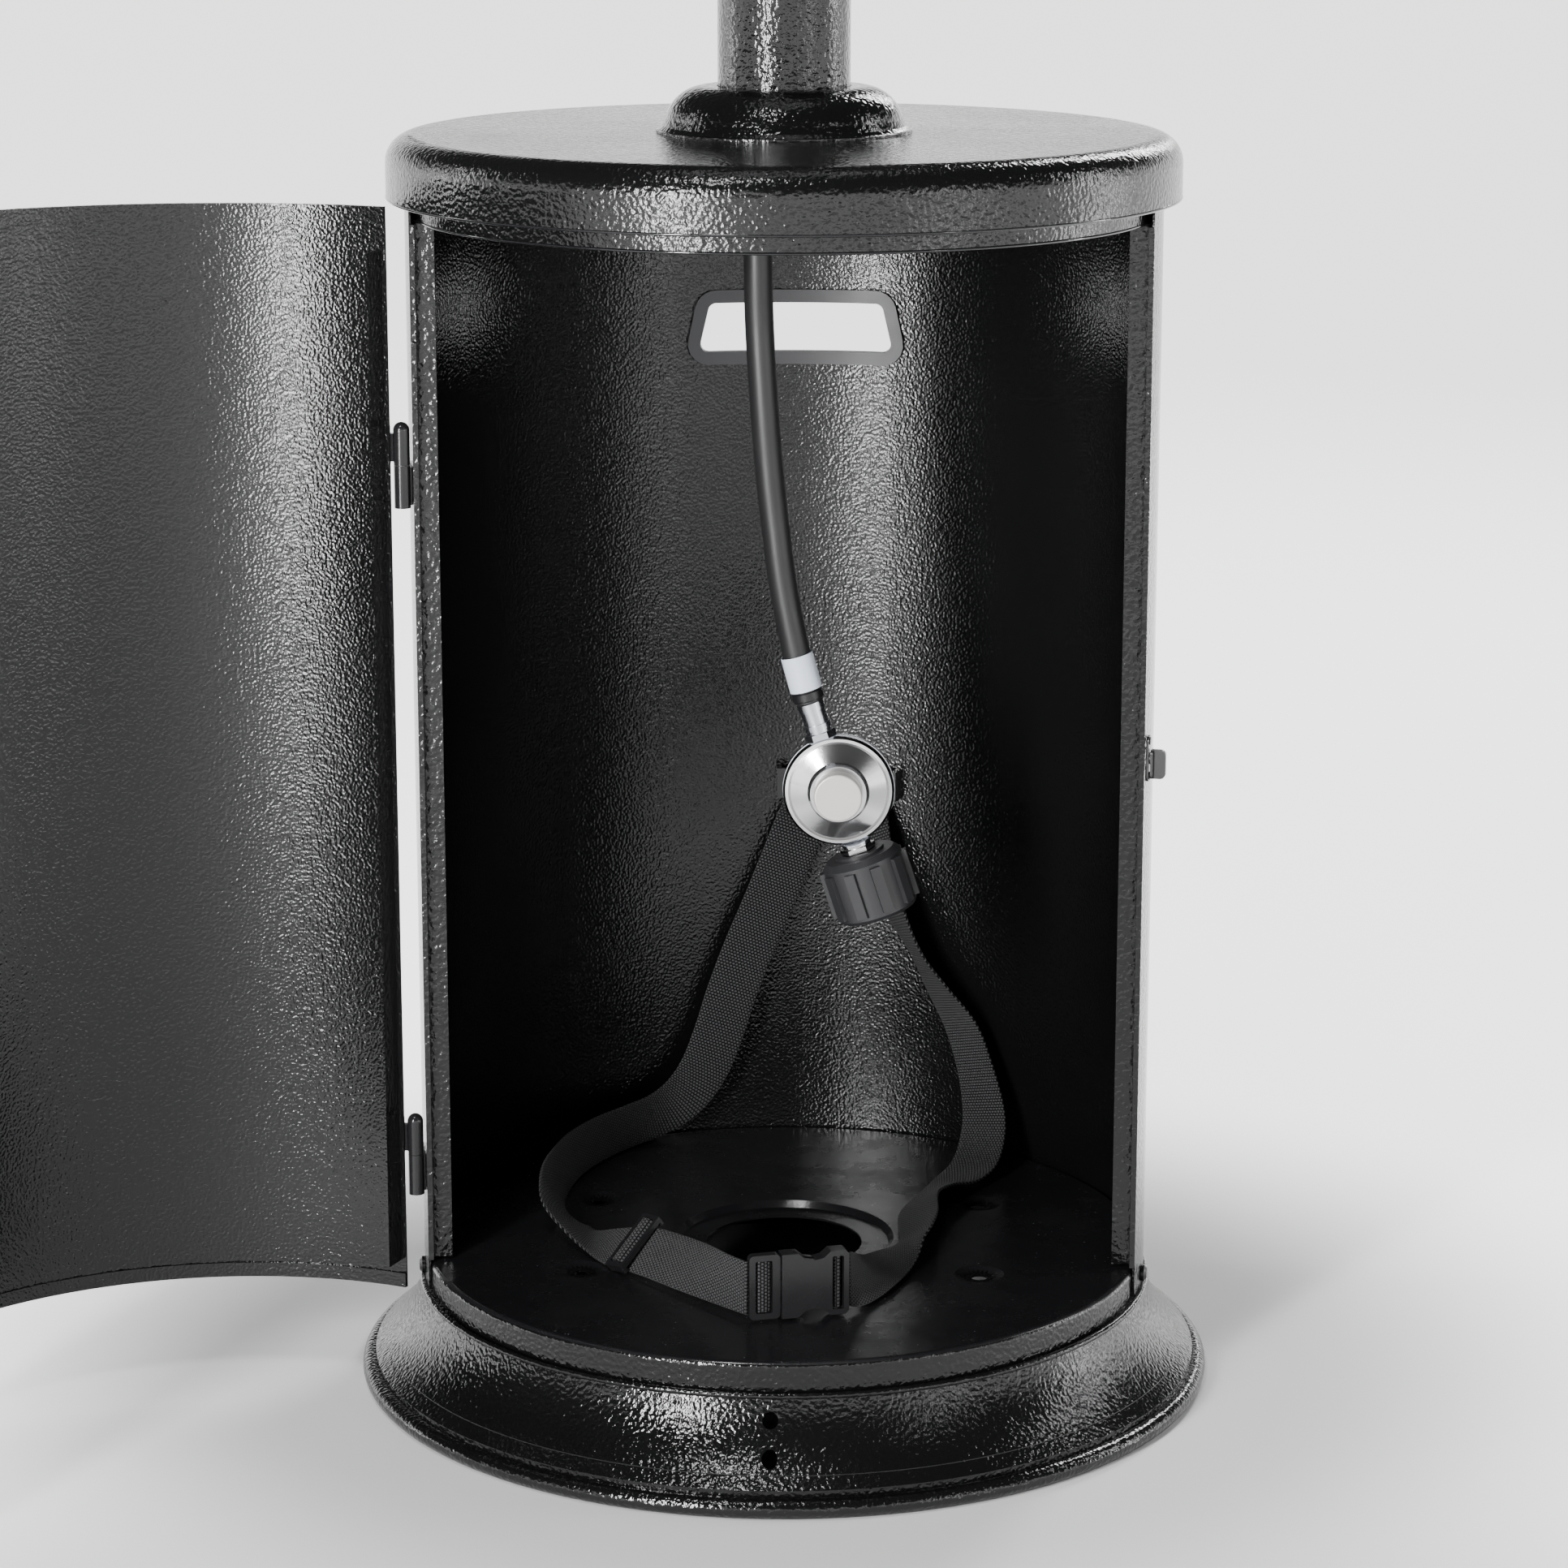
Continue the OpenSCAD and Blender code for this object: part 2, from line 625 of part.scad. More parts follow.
// rivets of the jamb leaves and of the latch's plate
module cabinet_rivets() {
  color(steel_black) union() {
    for (i = [0, 1], s = [8, 16])
      wall_screw(180 + pin_a - 4.5, hinge_zs[i] - s, cabinet_r + leaf_t + 0.02, 2.8, 1.2, 1.6, leaf_t);
    at_latch() for (s = [-9.6, 9.6])
      translate([s, 0, 0.2 + latch_base_t]) pan_head(2.2, 0.6, 1.2, 1.4);
  }
}

// ---------- latch ----------

module at_latch() {
  rotate([0, 0, -latch_a])
    translate([cabinet_r, 0, latch_z])
      rotate([0, 90, 0]) children();
}

module latch_plate() {
  color(steel_bare) at_latch() difference() {
    translate([0, 0, 0.15]) linear_extrude(height = latch_base_t) difference() {
      polygon(box_outline(25, 7.6, 2.5));
      circle(r = 1.9);
    }
    for (s = [-9.6, 9.6]) translate([s, 0, -1]) cylinder(h = 5, r = 1.3);
  }
}

// quarter-turn tab: local -X is up, the long end points down in the stored pose
module latch_turn() {
  t = latch_base_t + 0.4;
  color(steel_bare) at_latch() union() {
    translate([0, 0, 0.3]) cylinder(h = t + 1, r = 1.85);
    translate([0, 0, t]) cylinder(h = 1.6, r = 3.4);
    translate([3, 0, t + 0.6]) linear_extrude(height = 1.4) polygon(box_outline(latch_turn_h, 6.8, 2));
    translate([-latch_turn_h / 2 + 3, 1.3, t + 1])
      rotate([90, 0, 0]) linear_extrude(height = 2.6)
        polygon(concat([[0, 0]], [[latch_turn_h, 0]], corner(latch_turn_h - 3, 4.6, 3, 0, 90),
          corner(3, 4.6, 3, 90, 180)));
  }
}

// ---------- hose and regulator ----------

module hose_grommet() {
  color(plastic_black) translate([hose_x, 0, hose_top]) rotate_extrude() {
    translate([hose_r + 0.1, -3]) square([6, 3.4]);
    translate([hose_r + 0.1, -3]) square([2.7, 3 + lid_and_header + 2.6]);
    translate([hose_r + 0.1, lid_and_header]) square([6, 2.6]);
  }
}

module hose_riser() {
  color(plastic_black) translate([hose_x, 0, hose_top]) {
    cylinder(h = knob_z - 8 - hose_top, r = hose_r);
  }
}

module hose_drop() {
  color(plastic_black) tube_xz(hose_points, hose_r, 12);
}

module along_hose_end(d) {
  end_tilt = 15.4;
  translate(hose_end - d * [sin(end_tilt), 0, -cos(end_tilt)]) rotate([0, -end_tilt, 0]) children();
}

module hose_tag() {
  color([0.8, 0.83, 0.88]) along_hose_end(7) ring(hose_r + 1.2, hose_r + 0.8, 20);
}

module hose_ferrule() {
  color(steel_bare) at_regulator() difference() {
    translate([0, 0, regulator_r + 5.5 - 2]) union() {
      cylinder(h = ferrule_h + 1.5, r = hose_r * 0.9);
      translate([0, 0, 2]) cylinder(h = 3, r = hose_r * 0.98);
      translate([0, 0, ferrule_h - 3]) cylinder(h = 4.5, r = hose_r * 0.98);
    }
    cylinder(h = regulator_r + 40, r = 3.2);
  }
}

module regulator_body() {
  r = regulator_r;
  color([0.7, 0.73, 0.76]) at_regulator() difference() {
    union() {
      rotate([-90, 0, 0]) cylinder(h = 4, r = r);
      translate([0, 4 - eps, 0]) rotate([-90, 0, 0]) cylinder(h = 9, r1 = r - 2, r2 = r * 0.62);
      translate([0, 6, 0]) rotate([-90, 0, 0]) cylinder(h = 10, r = r * 0.5);
      cylinder(h = r + 3.4, r = 8.6, $fn = 6);
      rotate([180, 0, 0]) cylinder(h = r + 1, r = 8.2);
    }
    translate([0, -20, 0]) rotate([-90, 0, 0]) cylinder(h = 20, r = r + 0.1);
    translate([0, -eps, 0]) rotate([-90, 0, 0]) cylinder(h = 3, r = r - 6);
  }
}

module regulator_bonnet() {
  r = regulator_r;
  color([0.74, 0.74, 0.73]) at_regulator() rotate([90, 0, 0]) rotate_extrude() {
    polygon([[0, 9], [r * 0.45, 9], [r * 0.5, 5.4], [r * 0.83, 2], [r * 0.87, 0.1], [r - 0.2, 0.1],
      [r - 0.2, 2.6], [r * 0.95, 4.2], [r * 0.9, 4.4], [r * 0.86, 3.6], [r * 0.55, 7.6],
      [r * 0.5, 12], [0, 12]]);
  }
}

module regulator_cap() {
  r = regulator_r;
  color([0.8, 0.78, 0.74]) at_regulator() translate([0, -12.1, 0]) rotate([90, 0, 0]) rotate_extrude() {
    square([r * 0.43, 8]);
    translate([0, 7]) square([r * 0.43 - 1.2, 2.2]);
    translate([r * 0.43 - 1.2, 8]) intersection() {
      circle(r = 1.2);
      translate([-0.2, 0]) square([2, 2]);
    }
  }
}

module inlet_nipple() {
  color(steel_bare) at_regulator() translate([0, 0, nut_z - nut_h + 6]) {
    difference() {
      union() {
        cylinder(h = nut_gap + nut_h - 7.2, r = nipple_r);
        translate([0, 0, nut_h - 6 + 2.1]) cylinder(h = 2.6, r = nipple_r + 2, $fn = 6);
        cylinder(h = 8, r1 = nipple_r - 3, r2 = nipple_r);
      }
      translate([0, 0, -1]) cylinder(h = nut_h, r = 3);
    }
  }
}

// the ribbed hand nut that screws on to the bottle's valve
module hand_nut() {
  rib_r = nut_r - 2.4;
  color(plastic_black) at_regulator() translate([0, 0, nut_z]) rotate([180, 0, 0]) difference() {
    union() {
      rotate_extrude() polygon([[0, 0], [rib_r - 3.2, 0], [rib_r, 3.2], [rib_r, nut_h - 2],
        [rib_r - 1.6, nut_h], [0, nut_h]]);
      translate([0, 0, -1.6]) ring(nipple_r + 6, nipple_r + 1.4, 2);
      for (a = [0:36:324])
        rotate([0, 0, a]) translate([rib_r - 1, -3, 5]) cube([3.4, 6, nut_h - 9]);
    }
    translate([0, 0, -3]) cylinder(h = 10, r = nipple_r + run_gap);
    translate([0, 0, 5]) cylinder(h = nut_h, r = nut_r - 8.35);
  }
}

// ---------- bottle strap ----------

// welded bar on the back wall that the strap's two ends loop round
module strap_anchor() {
  color(steel_black) union() {
    arc_wall(wall_in_r - 10.5, wall_in_r - 7.5, strap_bar_z - 9, strap_bar_z + 9, 72.2, 92.8);
    for (a = [72.2, 92.8])
      rotate([0, 0, a]) translate([wall_in_r - 10.5, -1.5, strap_bar_z - 9]) cube([10.4, 3, 18]);
  }
}

module strap_left() {
  color(plastic_black) webbing(left_rows, web_t);
}

module strap_right() {
  color(plastic_black) webbing(right_rows, web_t);
}

// local X along the webbing, local Z across it
module at_buckle() {
  translate([buckle_o[0], buckle_o[1] + web_dy, buckle_z])
    rotate([0, 0, buckle_a]) children();
}

module buckle_male() {
  h = buckle_h;
  color(plastic_black) at_buckle() union() {
    difference() {
      translate([0, 0, 0]) plate_y(box_outline(17, h, 2.5), -2.6, 2.6);
      translate([-0.5, 0, 0]) plate_y(box_outline(9.4, h - 6.5, 1), -5, 5);
    }
    plate_y(box_outline(2.6, h - 4, 0.6), 0.6, 2.6);
    for (s = [-1, 1])
      translate([0, 0, s * (h / 2 - 7.5)]) plate_y([[8, -2], [24, -2.4], [28, 0], [24, 2.4], [8, 2]],
        -1.7, 1.7);
    plate_y([[8, -3], [20, -3], [20, 3], [8, 3]], -1.7, 1.7);
  }
}

module buckle_female() {
  h = buckle_h;
  x0 = 9;
  x1 = 46;
  color(plastic_black) at_buckle() difference() {
    union() {
      plate_y([[x0, -h / 2], [x0 + 9, -h / 2], [x0 + 13, -h / 2 + 3.4], [x0 + 18, -h / 2 + 4.4],
        [x0 + 23, -h / 2 + 3.4], [x0 + 27, -h / 2], [x1 - 2, -h / 2], [x1, -h / 2 + 2],
        [x1, h / 2 - 2], [x1 - 2, h / 2], [x0 + 27, h / 2], [x0 + 23, h / 2 - 3.4],
        [x0 + 18, h / 2 - 4.4], [x0 + 13, h / 2 - 3.4], [x0 + 9, h / 2], [x0, h / 2]],
        -buckle_t / 2, buckle_t / 2);
    }
    translate([x0 + 14, 0, 0]) plate_y(box_outline(30, h - 8.6, 1), -2.2, 2.2);
    translate([x0 + 12.6, 0, 0]) plate_y(box_outline(11, h + 10, 0.5), -1.9, 1.9);
    translate([x1 - 6, 0, 0]) plate_y(box_outline(6.4, h - 6, 1), -10, 10);
  }
}

// the slider that holds the webbing's free length
module tri_glide() {
  row = left_rows[21];
  mid = [row[0][0], row[0][1] + web_dy, row[0][2] + floor_h - 73];
  zdir = unit(row[1]);
  run = left_rows[22][0] - left_rows[20][0];
  xdir = unit(run - (run * zdir) * zdir);
  ydir = cross(zdir, xdir);
  h = web_w + 7;
  color(plastic_black) multmatrix([[xdir[0], ydir[0], zdir[0], mid[0]],
    [xdir[1], ydir[1], zdir[1], mid[1]], [xdir[2], ydir[2], zdir[2], mid[2] + 2], [0, 0, 0, 1]])
    difference() {
      union() {
        plate_y(box_outline(15, h, 2), -4.2, -1.2);
        for (s = [-1, 1]) translate([0, 0, s * (h / 2 - 1.5)]) plate_y(box_outline(15, 3, 1), -4.2, 1.2);
      }
      for (s = [-1, 1]) translate([s * 3.4, 0, 0]) plate_y(box_outline(3.8, h - 6, 1), -6, -1);
    }
}

// ---------- burner head ----------

module housing_base() {
  color(steel_bare) translate([0, 0, housing_z0]) difference() {
    cylinder(h = 1.5, r = housing_foot_r - sheet_t - 0.3);
    translate([0, 0, -1]) cylinder(h = 4, r = socket_r - 3);
    for (a = [45:90:315])
      rotate([0, 0, a]) translate([pole_r + 8, 0, -1]) cylinder(h = 6, r = 3.3);
  }
}

module housing_bolts() {
  color(steel_bare) for (a = [45:90:315])
    rotate([0, 0, a]) translate([pole_r + 8, 0, 0]) {
      translate([0, 0, housing_z0 + 1.6]) cylinder(h = 4, r = 5.6, $fn = 6);
      translate([0, 0, pole_h - 8]) cylinder(h = 14, r = 3);
      translate([0, 0, pole_h - 5]) cylinder(h = 5, r = 5.6, $fn = 6);
    }
}

// painted bowl that covers the valve, with the knob and the igniter on its face
module control_housing() {
  t = sheet_t;
  r0 = housing_foot_r;
  r1 = housing_r;
  z0 = housing_z0;
  z1 = housing_z1;
  color(steel_black) difference() {
    rotate_extrude() polygon([[r0, z0 - 0.1 - t], [r0, z0], [r1 - 1, z0 + cone_h - 1],
      [r1, z0 + cone_h + 1], [r1, z1], [screen_r - 14, z1], [screen_r - 14, z1 - t],
      [r1 - t, z1 - t], [r1 - t, z0 + cone_h + 1], [r0 - t, z0 + 0.3], [r0 - t, z0 - 0.1],
      [r0 - t - 6, z0 - 0.1], [r0 - t - 6, z0 - 0.1 - t]]);
    translate([0, -housing_r - 10, knob_z]) rotate([-90, 0, 0]) cylinder(h = 40, r = 9);
    rotate([0, 0, igniter_a])
      translate([housing_r - 20, 0, knob_z]) rotate([0, 90, 0]) cylinder(h = 40, r = igniter_r + 1.2);
    for (a = [0, 90, 180])
      rotate([0, 0, a])
        translate([housing_r - 20, 0, housing_z1 - 10]) rotate([0, 90, 0]) cylinder(h = 40, r = 2);
    for (a = [30:30:150])
      rotate([0, 0, a])
        translate([housing_r - 20, 0, knob_z + 18]) rotate([0, 90, 0]) cylinder(h = 40, r = 4);
  }
}

module housing_screws() {
  color(steel_bare) for (a = [0, 90, 180])
    wall_screw(a, housing_z1 - 10, housing_r + 0.1, 4, 2.6, 1.9, 5);
}

module gas_valve() {
  y = -housing_r + 22;
  color([0.75, 0.7, 0.5]) difference() {
    union() {
      translate([0, y, knob_z]) rotate([-90, 0, 0]) cylinder(h = 34, r = 15);
      translate([0, y - 9, knob_z]) rotate([-90, 0, 0]) cylinder(h = 10, r = 8);
      translate([hose_x - 9, y + 22, knob_z - 8]) cube([18, housing_r - 35, 16]);
      translate([-5, y + 10, knob_z + 12]) cube([10, 14, 14]);
    }
    translate([0, y - 20, knob_z]) rotate([-90, 0, 0]) cylinder(h = 36, r = 4 + run_gap);
  }
}

// the stem is pressed in against its spring, the knob turns on it
module valve_stem() {
  y = -housing_r + 22;
  color([0.78, 0.7, 0.45]) translate([0, y + 8, knob_z]) rotate([90, 0, 0]) cylinder(h = 46, r = 4);
}

module knob_bezel() {
  color(steel_bare) translate([0, -housing_r - 1.8, knob_z]) rotate([-90, 0, 0]) difference() {
    cylinder(h = 1.6, r = knob_r + 8);
    translate([0, 0, -1]) cylinder(h = 4, r = 9);
  }
}

module control_knob() {
  y1 = -housing_r - 7;
  color(plastic_black) translate([0, y1, knob_z]) rotate([90, 0, 0]) difference() {
    union() {
      cylinder(h = 4, r = knob_r);
      translate([0, 0, 4 - eps]) cylinder(h = 12, r1 = knob_r * 0.82, r2 = knob_r * 0.74);
      translate([-3.5, -knob_r * 0.95, 4]) cube([7, knob_r * 1.9, 15]);
    }
    translate([0, 0, -1]) cylinder(h = 13, r = 4 + run_gap);
  }
}

module at_igniter() {
  rotate([0, 0, igniter_a]) translate([housing_r, 0, knob_z]) rotate([0, 90, 0]) children();
}

module igniter_body() {
  color(plastic_black) at_igniter() difference() {
    union() {
      translate([0, 0, 0.3]) cylinder(h = 3, r = igniter_r + 4);
      translate([0, 0, -34]) cylinder(h = 35, r = igniter_r + 0.9);
    }
    translate([0, 0, -16]) cylinder(h = 30, r = igniter_r - 2 + run_gap);
  }
}

module igniter_button() {
  color([0.5, 0.06, 0.05]) at_igniter() union() {
    translate([0, 0, -8]) cylinder(h = 18, r = igniter_r - 2);
    translate([0, 0, 10 - eps]) cylinder(h = 1, r1 = igniter_r - 2, r2 = igniter_r - 3);
  }
}

module tilt_switch() {
  color(plastic_black) translate([20, 8, housing_z0 + 1.6]) {
    cube([22, 14, 30]);
    translate([-6, 0, 0]) cube([34, 14, 2]);
  }
}

module gas_tube() {
  y = -housing_r + 22 + 17;
  color([0.72, 0.5, 0.3]) translate([0, y, knob_z + 26]) {
    cylinder(h = housing_z1 - knob_z - 26 - 6, r = 4);
  }
}

module burner_pipe() {
  z0 = housing_z1 - 6;
  y = -housing_r + 22 + 17;
  color(steel_bare) union() {
    translate([-6, y - 6, z0]) cube([12, -y + 12, 10]);
    translate([0, 0, z0]) cylinder(h = 40, r = 12);
  }
}

module burner_dish() {
  z0 = housing_z1 + 34.2;
  color(steel_bare) translate([0, 0, z0]) difference() {
    union() {
      cylinder(h = 14, r1 = 14, r2 = screen_r - 22);
      translate([0, 0, 14 - eps]) cylinder(h = 3, r = screen_r - 22);
    }
    translate([0, 0, 2]) cylinder(h = 13, r1 = 12, r2 = screen_r - 24);
    translate([0, 0, 14]) cylinder(h = 10, r = screen_r - 24);
  }
}

module pilot_burner() {
  color([0.78, 0.7, 0.45]) translate([screen_r - 10, 0, housing_z1 + 0.1]) {
    cylinder(h = 60, r = 3);
    translate([-4, -4, 56]) cube([8, 8, 10]);
  }
}

module thermocouple() {
  color([0.72, 0.5, 0.3]) translate([(screen_r - 10) * cos(14), (screen_r - 10) * sin(14),
    housing_z1 + 0.1]) cylinder(h = 68, r = 2);
}

module emitter_screen() {
  color([0.75, 0.75, 0.76]) translate([0, 0, housing_z1 + 0.1]) ring(screen_r, screen_r - 1, screen_h - 0.2);
}

module emitter_top() {
  color([0.75, 0.75, 0.76]) translate([0, 0, screen_z1]) difference() {
    union() {
      cylinder(h = 1.5, r = screen_r + 4);
      translate([0, 0, -8]) ring(screen_r + 4, screen_r + 2.5, 9);
    }
    for (a = [30:120:270])
      rotate([0, 0, a]) translate([stud_pcd / 2, 0, -1]) cylinder(h = 4, r = stud_r + 0.2);
  }
}

module reflector_studs() {
  color(steel_bare) for (a = [30:120:270])
    rotate([0, 0, a]) translate([stud_pcd / 2, 0, 0]) {
      translate([0, 0, screen_z1 - 8]) cylinder(h = dome_top + 14 - screen_z1 + 8, r = stud_r);
      translate([0, 0, screen_z1 + 1.6]) cylinder(h = stud_seat - screen_z1 - 3.6, r = stud_r + 3);
      translate([0, 0, screen_z1 - 5.1]) cylinder(h = 5, r = 5.6, $fn = 6);
    }
}

module reflector_dome() {
  t = 1.2;
  color([0.8, 0.8, 0.81]) difference() {
    intersection() {
      translate([0, 0, dome_top - dome_ball]) difference() {
        sphere(r = dome_ball, $fn = 128);
        sphere(r = dome_ball - t, $fn = 128);
      }
      translate([0, 0, dome_top - dome_rise]) cylinder(h = dome_rise + 5, r = dome_r);
    }
    for (a = [30:120:270])
      rotate([0, 0, a]) translate([stud_pcd / 2, 0, dome_top - 20]) cylinder(h = 40, r = stud_r + 0.3);
  }
}

module wing_nuts() {
  color(steel_bare) for (a = [30:120:270])
    rotate([0, 0, a]) translate([stud_pcd / 2, 0, stud_seat + 2]) difference() {
      union() {
        translate([0, 0, -1]) cylinder(h = 1.2, r = 9);
        cylinder(h = 7, r1 = 6.5, r2 = 5);
        for (s = [-1, 1])
          translate([0, 1.2, 2]) rotate([90, 0, 0]) linear_extrude(height = 2.4)
            polygon([[s * 3, 0], [s * 13, 7], [s * 14, 12], [s * 10, 13], [s * 3.4, 5]]);
      }
      translate([0, 0, -2]) cylinder(h = 20, r = stud_r);
    }
}

// ---------- nodes ----------

base_pan();
base_screws();
cabinet_shell();
handle_trim();
header_pan();
header_screws();
lid();
collar();
pole_socket();
socket_bolts();
pole();
pole_flange();
door_panel();
door_leaf(0);  // door_leaf_upper
door_leaf(1);  // door_leaf_lower
jamb_leaf(0);  // jamb_leaf_upper
jamb_leaf(1);  // jamb_leaf_lower
hinge_pins();
door_rivets();
cabinet_rivets();
latch_plate();
latch_turn();
hose_grommet();
hose_riser();
hose_drop();
hose_tag();
hose_ferrule();
regulator_body();
regulator_bonnet();
regulator_cap();
inlet_nipple();
hand_nut();
strap_anchor();
strap_left();
strap_right();
tri_glide();
buckle_male();
buckle_female();
housing_base();
housing_bolts();
control_housing();
housing_screws();
gas_valve();
valve_stem();
knob_bezel();
control_knob();
igniter_body();
igniter_button();
tilt_switch();
gas_tube();
burner_pipe();
burner_dish();
pilot_burner();
thermocouple();
emitter_screen();
emitter_top();
reflector_studs();
reflector_dome();
wing_nuts();
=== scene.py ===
import json
import math
import bmesh
import bpy
from mathutils import Matrix, Vector


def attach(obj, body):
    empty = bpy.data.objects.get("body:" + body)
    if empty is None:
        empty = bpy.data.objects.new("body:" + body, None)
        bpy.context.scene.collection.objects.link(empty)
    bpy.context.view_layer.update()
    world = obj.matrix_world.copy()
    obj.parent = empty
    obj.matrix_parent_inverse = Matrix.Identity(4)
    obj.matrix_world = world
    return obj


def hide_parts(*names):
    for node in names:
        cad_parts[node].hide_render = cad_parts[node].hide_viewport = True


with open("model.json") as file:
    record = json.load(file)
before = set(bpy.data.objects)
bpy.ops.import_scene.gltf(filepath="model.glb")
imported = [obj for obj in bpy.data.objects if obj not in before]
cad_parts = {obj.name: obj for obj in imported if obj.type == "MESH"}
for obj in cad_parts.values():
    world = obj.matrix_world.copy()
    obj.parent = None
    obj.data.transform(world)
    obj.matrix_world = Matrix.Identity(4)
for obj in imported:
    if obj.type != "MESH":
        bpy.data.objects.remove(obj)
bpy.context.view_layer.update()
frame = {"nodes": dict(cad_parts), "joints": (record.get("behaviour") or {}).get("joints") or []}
nodes = frame["nodes"]
MM = 0.001
DOOR = next(j for j in frame["joints"] if j["name"] == "door_hinge")

# ---------- sizes, in millimetres ----------
CABINET_R = 203.0
LID_H = 694.0
FLOOR_H = 73.0
WALL_MIDDLE_R = 203.5
HOLE_RIM_R = 63.5
BUCKLE = (-6, -138, FLOOR_H + 19.5)
BUCKLE_TURN = 16
HOSE_TOP = 690.8
HOSE_R = 7.8
HOSE_PATH = [(-14, 0, 0), (-14, 0, -30), (-14, 0, -65), (-13.5, 0, -95), (-12, 0, -125), (-10, 0, -155),
             (-7.5, 0, -185), (-4.5, 0, -212), (-1, 0, -240), (3.5, 0, -265), (8.5, 0, -288), (14, 0, -308)]
# Each row of a strap: its centre, then its width from one edge to the other.
LEFT = [((9.8, 197.9, 297), (28, -1, -2)), ((8.5, 197, 279), (28, -1, -6)),
        ((2, 189, 264), (28, -1, -9)), ((-7, 187, 241), (28, -1, -9)),
        ((-17, 186, 216), (28, 0, -10)), ((-28, 184, 190), (28, 0, -10)),
        ((-38, 182, 163), (28, 1, -9)), ((-46, 180, 138), (28, 3, -10)),
        ((-55, 177, 116), (26, 6, -13)), ((-67, 173, 100), (20, 8, -20)),
        ((-82, 166, 91), (8, 9, -27)), ((-98, 149, 89), (2, 8, -28)),
        ((-114, 124, 89), (5, 8, -28)), ((-126, 95, 89), (6, 7, -28)),
        ((-132, 64, 89), (7, 4, -28)), ((-134, 40, 88), (11, 2, -27)),
        ((-131, 19, 86), (18, 0, -23)), ((-126, 4, 83), (22, 10, -17)),
        ((-118, -9, 80), (15, 24, -9)), ((-108, -23, 77), (6, 29, 0)),
        ((-94, -41, 80), (10, 25, 11)), ((-80, -56, 84), (16, 17, 18)),
        ((-67, -71, 86), (18, 10, 22)), ((-52, -91, 88), (15, 5, 25)),
        ((-38, -111, 90), (9, 1, 28)), ((-27, -126, 91), (4, -1, 29)),
        ((-15, -140.6, 92), (0, 0, 30))]
RIGHT = [((40.4, 193.6, 297), (-28, 5, -2)), ((40.6, 192.6, 279), (-27, 6, -8)),
         ((44, 186, 262), (-24, 12, -12)),
         ((51, 180, 240), (-17, 21, -13)), ((61, 175, 215), (-10, 26, -10)),
         ((73, 172, 192), (-7, 28, -6)), ((86, 168, 171), (-12, 25, -7)), ((100, 162, 150), (-19, 22, -8)),
         ((109, 152, 126), (-21, 20, -8)), ((114, 139, 104), (-24, 16, -6)),
         ((113, 125, 90), (-26, 14, -4)), ((108, 107, 81), (-26, 15, -3)), ((98, 88, 78), (-23, 18, -4)),
         ((88, 68, 80), (-18, 21, -11)), ((80, 46, 82), (-17, 19, -14)), ((76, 22, 84), (-22, 13, -16)),
         ((76, -2, 84), (-22, 12, -16)), ((75, -21, 83), (-18, 17, -16)), ((71, -32, 81), (-17, 21, -13)),
         ((67, -42, 78.5), (-19, 23, -5)), ((61, -57, 78), (-20, 22, 3)), ((54, -80, 81), (-17, 22, 10)),
         ((46, -105, 86), (-10, 18, 22)), ((39.2, -124.8, 92), (0, 0, 30))]

# ---------- materials ----------


